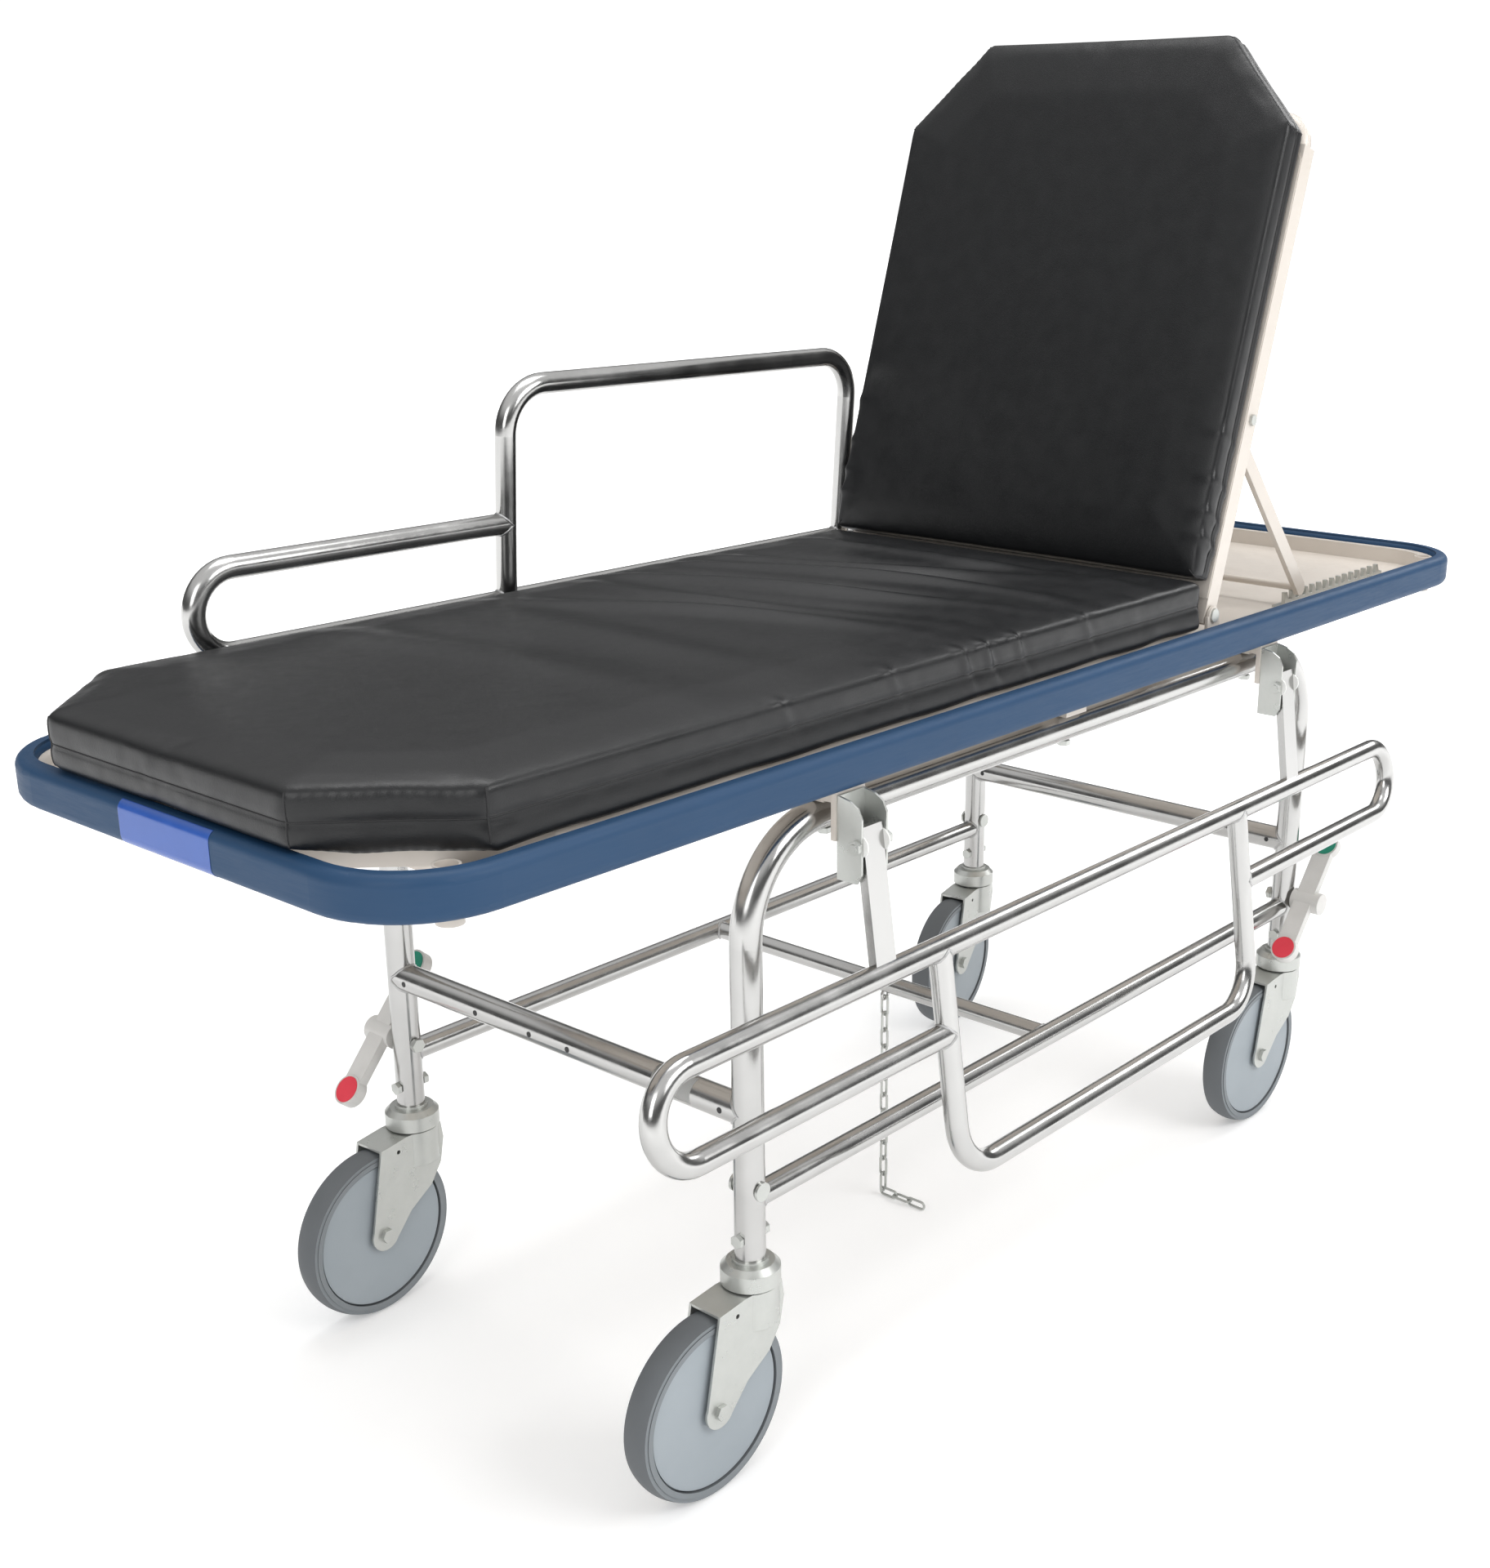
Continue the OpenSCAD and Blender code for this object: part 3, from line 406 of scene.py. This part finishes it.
def cushion(node, body, place, inset, pressure, slack, cap, shape, seam_at):
    """A sewn pad that stands for a prism-shaped CAD solid"""
    ring, low, high = outline_of(node, place)
    sides = edge_lines(ring)
    obj = slab(node + "_cover", ring, low + 1 * MM, high - 0.5 * MM, inset, VOXEL)
    flat = get_points(obj)
    inflate(obj, pressure, slack, cap)
    # the foam keeps the sewn edges crisp, so the cover swells only away from them
    free = 0.15 + 0.85 * np.clip(inside_by(flat, sides).min(0) / HELD, 0, 1)
    set_points(obj, flat + (get_points(obj) - flat) * free[:, None])
    smooth = obj.modifiers.new("smooth", "SUBSURF")
    smooth.levels = smooth.render_levels = 1
    bake(obj)
    co = get_points(obj)
    depth = inside_by(co, sides)
    # the cover can't pass the solid's sides, and its underside lies flat on its deck
    nearest = depth.argmin(0)
    for i, (_, _, normal, _) in enumerate(sides):
        out = (nearest == i) & (depth[i] < 0.5 * MM)
        co[out, :2] += np.outer(0.5 * MM - depth[i][out], (normal.x, normal.y))
    # remeshing and smoothing shrink the cover, so it is drawn out to the solid's sides again
    for axis in (0, 1):
        ends = [getattr(p, "xy"[axis]) for p in ring]
        start, stop = co[:, axis].min(), co[:, axis].max()
        share = (co[:, axis] - start) / (stop - start)
        co[:, axis] = min(ends) + share * (max(ends) - min(ends))
    co[:, 2] = np.maximum(co[:, 2], low)
    depth = inside_by(co, sides)
    edge = depth.min(0)
    seam_z = low + (high - low) * seam_at
    # groove along the boxing seam
    groove = 1.8 * MM * bell(co[:, 2] - seam_z, 4 * MM) * bell(edge, 9 * MM)
    normals = np.array([(n.x, n.y) for _, _, n, _ in sides])
    co[:, :2] += normals[depth.argmin(0)] * groove[:, None]
    shape(co, depth, low, high)
    set_points(obj, co)
    obj.data.transform(place)
    obj.data.shade_smooth()
    obj.data.materials.clear()
    obj.data.materials.append(MATERIALS["vinyl_black"])
    turn = place.to_3x3()
    path = []
    for a, along, normal, length in sides:
        count = int(length / STITCH)
        for k in range(count):
            spot = a + along * (length * (k + 0.5) / count) - normal * RAY_START
            path.append((place @ Vector((*spot, seam_z)), turn @ Vector((*normal, 0))))
    seam_line(node + "_seam", obj, path, True, body)
    heights = np.linspace(low + 0.08 * (high - low), low + 0.92 * (high - low), 14)
    for i, corner in enumerate(ring):
        inward = (sides[i][2] + sides[i - 1][2]).normalized()
        outside = corner - inward * RAY_START
        path = [(place @ Vector((*outside, z)), turn @ Vector((*inward, 0))) for z in heights]
        seam_line(f"{node}_corner_{i}", obj, path, False, body)
    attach(obj, body)
    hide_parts(node)


# Creases across the seat: place on the centre line, slant, width and height
SEAT_CREASES = [(-0.46, -0.10, 0.028, 5.85 * MM), (-0.33, -0.36, 0.021, 9.1 * MM),
                (-0.24, -0.14, 0.017, 6.5 * MM), (-0.15, -0.42, 0.019, 10.4 * MM),
                (-0.06, -0.24, 0.016, 9.1 * MM), (0.02, -0.30, 0.022, 7.8 * MM),
                (0.12, -0.12, 0.017, 6.5 * MM), (-0.62, -0.12, 0.032, 4.55 * MM)]
# Gathered pleats in the seat's near side wall: place and height
SIDE_PLEATS = [(-0.245, 4.2 * MM), (-0.205, 5.0 * MM), (-0.150, 4.0 * MM), (-0.02, 2.4 * MM),
               (-0.52, 1.8 * MM), (-0.36, 2.2 * MM)]
PLEAT_WIDTH = 6 * MM
HEM_BAND = 8 * MM       # how far in from its edge the seat's lower hem moves
HEM_DROP = 9.5 * MM     # how far it hangs down
HEM_FLARE = 5.5 * MM    # and stands out over the bumper's inner edge
HEM_WAVE = 0.9 * MM
# Gathers at the back pad's lower corners: places up from its lower end
BACK_GATHERS = (0.035, 0.065, 0.105, 0.16)


def crown(co, edge, upper, reach, height):
    """Domes the top face, rising over a distance of reach from its edges"""
    rise = np.clip(edge / reach, 0, 1)
    co[:, 2] += upper * height * rise * (2 - rise)


def shape_seat(co, depth, low, high):
    """Crown, creases, gathered side and slack hem of the long mattress"""
    x, y, z = co[:, 0].copy(), co[:, 1].copy(), co[:, 2].copy()
    edge = depth.min(0)
    rise = np.clip((z - low) / (high - low), 0, 1)
    upper = np.clip((z - low) / (high - low) * 2 - 1, 0, 1)
    crown(co, edge, upper, 0.12, 3.0 * MM)
    for i, (at, slant, width, height) in enumerate(SEAT_CREASES):
        across = x - at - slant * y - 0.02 * np.sin(7 * y + 2 * i)
        fade = bell(y - 0.10 * math.sin(3.1 * i), 0.15 + 0.012 * i) * np.clip(edge / 0.04, 0, 1)
        fold = bell(across, width) - 0.6 * bell(across - 2 * width, width)
        co[:, 2] += upper * height * fade * fold
    near = bell(y - y.min(), 2 * PLEAT_WIDTH)
    for at, height in SIDE_PLEATS:
        lean = x - at + 0.5 * (z - high)
        pleat = bell(lean, PLEAT_WIDTH) - 0.5 * bell(lean - 13 * MM, 7 * MM)
        co[:, 1] -= near * height * pleat * rise
        co[:, 2] += upper * near * 0.5 * height * bell(lean, 8 * MM)
    # the lower hem hangs in slack waves, but not over the bumper at the foot end
    hem = bell(edge, HEM_BAND) * np.clip(1 - (z - low) / (0.45 * (high - low)), 0, 1)
    hem *= np.clip((x - x.min()) / 0.04, 0, 1)
    swing = np.sin(31 * x + 17 * y) + 0.6 * np.sin(53 * x - 23 * y)
    co[:, 2] += (HEM_WAVE * swing - HEM_DROP) * hem
    co[:, 1] += np.sign(y) * HEM_FLARE * hem * bell(np.abs(y) - np.abs(y).max(), 12 * MM)


def shape_back(co, depth, low, high):
    """Crown, corner gathers and rounded lower end of the back pad"""
    x, y, z = co[:, 0].copy(), co[:, 1].copy(), co[:, 2].copy()
    upper = np.clip((z - low) / (high - low) * 2 - 1, 0, 1)
    crown(co, depth.min(0), upper, 0.10, 2.5 * MM)
    foot = x.min()
    for side in (-1, 1):
        wall = bell(y - side * np.abs(y).max(), 0.02)
        for k, at in enumerate(BACK_GATHERS):
            ridge = bell(x - foot - at - 0.35 * (z - low), 7 * MM)
            co[:, 1] += side * wall * ridge * (2.6 - 0.5 * k) * MM
            co[:, 2] += upper * wall * ridge * 1.5 * MM
    co[:, 2] -= upper * bell(x - foot, 0.03) * 4 * MM


# ---------- welds and the rating sticker ----------

BEAD_R = 1.5 * MM
BEAD_WOBBLE = 0.4 * MM
BEAD_POINTS = 40


def weld(name, place, tube_dir, along, big_r, small_r, body):
    """Bead where a tube of radius small_r butts on one of radius big_r whose axis is along"""
    side = tube_dir.cross(along)
    curve = bpy.data.curves.new(name, "CURVE")
    curve.dimensions = "3D"
    curve.bevel_depth = BEAD_R
    curve.bevel_resolution = 2
    line = curve.splines.new("POLY")
    line.points.add(BEAD_POINTS - 1)
    for k, point in enumerate(line.points):
        a = 2 * math.pi * k / BEAD_POINTS
        sideways = small_r * math.sin(a)
        reach = math.sqrt(max(big_r ** 2 - sideways ** 2, 0))
        wobble = BEAD_WOBBLE * math.sin(13 * a)
        spot = place + tube_dir * (reach + wobble) + along * small_r * math.cos(a) + side * sideways
        point.co = (*spot, 1)
    line.use_cyclic_u = True
    piece = bpy.data.objects.new(name, curve)
    bpy.context.collection.objects.link(piece)
    curve.materials.append(WELD)
    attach(piece, body)


def centre_of(node):
    """Middle of a node's box and half its size"""
    low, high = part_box(node)
    return (low + high) / 2, (high - low) / 2


def frame_welds():
    """Beads where the lower rails and the cross tubes meet the hoops and each other"""
    x, y, z = Vector((1, 0, 0)), Vector((0, 1, 0)), Vector((0, 0, 1))
    leg_mid, leg_half = centre_of("side_hoop_left")
    leg_r = leg_half.y
    leg_x = leg_half.x - leg_r
    for side in ("left", "right"):
        mid, half = centre_of("lower_rail_" + side)
        for end in (-1, 1):
            spot = Vector((end * leg_x, mid.y, mid.z))
            weld(f"weld_rail_{side}_{end + 1}", spot, -end * x, z, leg_r, half.z, "root")
    for node, end in (("foot_cross_tube", -1), ("head_cross_tube", 1)):
        mid, half = centre_of(node)
        for side in (-1, 1):
            spot = Vector((end * leg_x, side * abs(leg_mid.y), mid.z))
            weld(f"weld_{node}_{side + 1}", spot, -side * y, z, leg_r, half.z, "root")
    mid, half = centre_of("mid_cross_tube")
    rail_mid, rail_half = centre_of("lower_rail_left")
    for side in (-1, 1):
        spot = Vector((mid.x, side * abs(rail_mid.y), rail_mid.z))
        weld(f"weld_mid_{side + 1}", spot, -side * y, x, rail_half.z, half.x, "root")


# Side rail, measured down from its pivot when hanging: its rows of tube, the half width of
# its raised middle, its tube's radius and how far each rail is turned round its pivots
RAIL_ROWS = (0.133, 0.224)
HUMP_HALF = 0.302
RAIL_TUBE_R = 12.5 * MM
RAIL_TURN = {"left": math.radians(-8), "right": math.radians(184)}


def rail_welds():
    """Beads where the cross rows of each side rail meet the sides of its raised middle"""
    for side, turn in RAIL_TURN.items():
        pivot = Vector(joint(f"side_rail_{side}_pivot")["pos_m"])
        low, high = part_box("side_rail_" + side)
        middle = (low.x + high.x) / 2
        place = Matrix.Translation(pivot) @ Matrix.Rotation(turn, 4, "X")
        spin = place.to_3x3()
        across = Vector((1, 0, 0))
        down = spin @ Vector((0, 0, -1))
        for end in (-1, 1):
            for row, reach, along in ((0, down, across), (1, end * across, down)):
                spot = place @ Vector((middle + end * HUMP_HALF, 0, -RAIL_ROWS[row]))
                weld(f"weld_{side}_{row}_{end + 1}", spot, reach, along, RAIL_TUBE_R, RAIL_TUBE_R,
                     "side_rail_" + side)


STICKER_ENDS = (-0.205, -0.150)     # across the trolley
STICKER_START = 95                  # degrees round the tube from the head end, over the top
STICKER_WRAP = 110
STICKER_STEPS = 14


def rating_sticker():
    """Blank foil label on the foot cross tube"""
    mid, half = centre_of("foot_cross_tube")
    r = half.z + 0.15 * MM
    bm = bmesh.new()
    rows = []
    for k in range(STICKER_STEPS + 1):
        a = math.radians(STICKER_START + STICKER_WRAP * k / STICKER_STEPS)
        spot = (mid.x + r * math.cos(a), mid.z + r * math.sin(a))
        rows.append([bm.verts.new((spot[0], y, spot[1])) for y in STICKER_ENDS])
    for a, b in zip(rows, rows[1:]):
        bm.faces.new((a[0], a[1], b[1], b[0]))
    mesh = bpy.data.meshes.new("rating_sticker")
    bm.to_mesh(mesh)
    bm.free()
    mesh.shade_smooth()
    mesh.materials.append(STICKER)
    obj = bpy.data.objects.new("rating_sticker", mesh)
    bpy.context.collection.objects.link(obj)
    thick = obj.modifiers.new("thick", "SOLIDIFY")
    thick.thickness = 0.1 * MM
    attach(obj, "root")


# ---------- studio ----------

def area_light(name, place, size, power, aim=(0, 0, 0.6)):
    light = bpy.data.lights.new(name, "AREA")
    light.shape = "RECTANGLE"
    light.size, light.size_y = size
    light.energy = power
    obj = bpy.data.objects.new(name, light)
    obj.location = place
    obj.rotation_euler = (Vector(aim) - Vector(place)).to_track_quat("-Z", "Y").to_euler()
    bpy.context.collection.objects.link(obj)


FLOOR_HALF = 60
GLOW_NEAR, GLOW_FAR = 1.2, 4.5      # distances from the object between which the floor turns white
# Brightness round the studio, from straight down (0) over the horizon (0.5) to straight up (1)
SURROUND = ((0.0, 0.75), (0.47, 0.55), (0.515, 0.09), (0.66, 0.15), (0.80, 0.80), (1.0, 0.9))


def pale_floor():
    """Pale floor that glows more with distance, so that it meets the white backdrop with no edge"""
    floor_mesh = bpy.data.meshes.new("floor")
    bm = bmesh.new()
    bmesh.ops.create_grid(bm, x_segments=1, y_segments=1, size=FLOOR_HALF)
    bm.to_mesh(floor_mesh)
    bm.free()
    floor = bpy.data.objects.new("floor", floor_mesh)
    bpy.context.collection.objects.link(floor)
    pale = Nodes("floor_pale")
    away = pale.add("ShaderNodeVectorMath")
    away.operation = "LENGTH"
    pale.link(pale.place, away.inputs[0])
    glow = pale.spread(away.outputs["Value"], 0.28, 1.0, GLOW_NEAR, GLOW_FAR)
    pale.set(Base_Color=(0.86, 0.86, 0.86, 1), Roughness=0.9, Specular_IOR_Level=0.1,
             Emission_Color=(1, 1, 1, 1), Emission_Strength=glow)
    floor_mesh.materials.append(pale.material)


def backdrop():
    """White to the camera, and a soft studio with a dark band above the horizon in reflections"""
    world = bpy.data.worlds.new("studio")
    bpy.context.scene.world = world
    world.use_nodes = True
    tree = world.node_tree
    links = tree.links
    back = tree.nodes["Background"]
    seen = tree.nodes.new("ShaderNodeLightPath")
    place = tree.nodes.new("ShaderNodeTexCoord")
    parts = tree.nodes.new("ShaderNodeSeparateXYZ")
    links.new(place.outputs["Generated"], parts.inputs[0])
    ramp = tree.nodes.new("ShaderNodeValToRGB")
    shift = tree.nodes.new("ShaderNodeMapRange")
    shift.inputs["From Min"].default_value = -1
    links.new(parts.outputs["Z"], shift.inputs["Value"])
    links.new(shift.outputs[0], ramp.inputs[0])
    stops = ramp.color_ramp.elements
    stops.remove(stops[0])
    stops[0].position = SURROUND[0][0]
    for at, _ in SURROUND[1:]:
        stops.new(at)
    for stop, (_, tone) in zip(stops, SURROUND):
        stop.color = (tone, tone, tone, 1)
    mix = tree.nodes.new("ShaderNodeMix")
    mix.data_type = "RGBA"
    links.new(seen.outputs["Is Camera Ray"], mix.inputs["Factor"])
    links.new(ramp.outputs[0], mix.inputs[6])
    mix.inputs[7].default_value = (1.1, 1.1, 1.1, 1)
    links.new(mix.outputs[2], back.inputs["Color"])
    back.inputs["Strength"].default_value = 1.0


def studio():
    pale_floor()
    backdrop()
    area_light("key", (0.8, -3.8, 3.0), (2.8, 1.6), 88)
    area_light("top", (0.2, 0.2, 4.0), (2.6, 1.6), 52, (0, 0, 0))
    area_light("fill", (-3.4, -1.2, 2.2), (1.4, 2.0), 30)
    area_light("rim", (3.6, -0.6, 2.8), (1.4, 1.6), 30)
    bpy.context.scene.view_settings.view_transform = "Standard"


CAMERA_PLACE = (-1.81599, -1.46139, 1.26152)
CAMERA_TURN = math.radians(39.0)    # round from the trolley's length
CAMERA_TILT = math.radians(18.5)    # down
CAMERA_ROLL = 0.0085
CAMERA_LENS = 47.28


def camera():
    """At the photograph's viewpoint"""
    data = bpy.data.cameras.new("camera")
    data.lens = CAMERA_LENS
    data.sensor_width = 36
    data.sensor_fit = "HORIZONTAL"
    data.shift_x = -0.0926
    data.shift_y = 0.0366
    obj = bpy.data.objects.new("camera", data)
    bpy.context.collection.objects.link(obj)
    level = Vector((math.cos(CAMERA_TURN), math.sin(CAMERA_TURN), 0))
    ahead = level * math.cos(CAMERA_TILT) - Vector((0, 0, math.sin(CAMERA_TILT)))
    right = Vector((level.y, -level.x, 0))
    up = right.cross(ahead)
    rolled_right = right * math.cos(CAMERA_ROLL) + up * math.sin(CAMERA_ROLL)
    rolled_up = up * math.cos(CAMERA_ROLL) - right * math.sin(CAMERA_ROLL)
    axes = Matrix((rolled_right, rolled_up, -ahead)).transposed().to_4x4()
    obj.matrix_world = Matrix.Translation(CAMERA_PLACE) @ axes
    bpy.context.scene.camera = obj


dress_frame()
cushion("seat_mattress", "root", Matrix.Identity(4), 1 * MM, 2.0, 0.012, 7 * MM, shape_seat, 0.46)
cushion("backrest_pad", "backrest", TO_BACKREST, 1 * MM, 2.0, 0.010, 6 * MM, shape_back, 0.40)
frame_welds()
rail_welds()
rating_sticker()
studio()
camera()
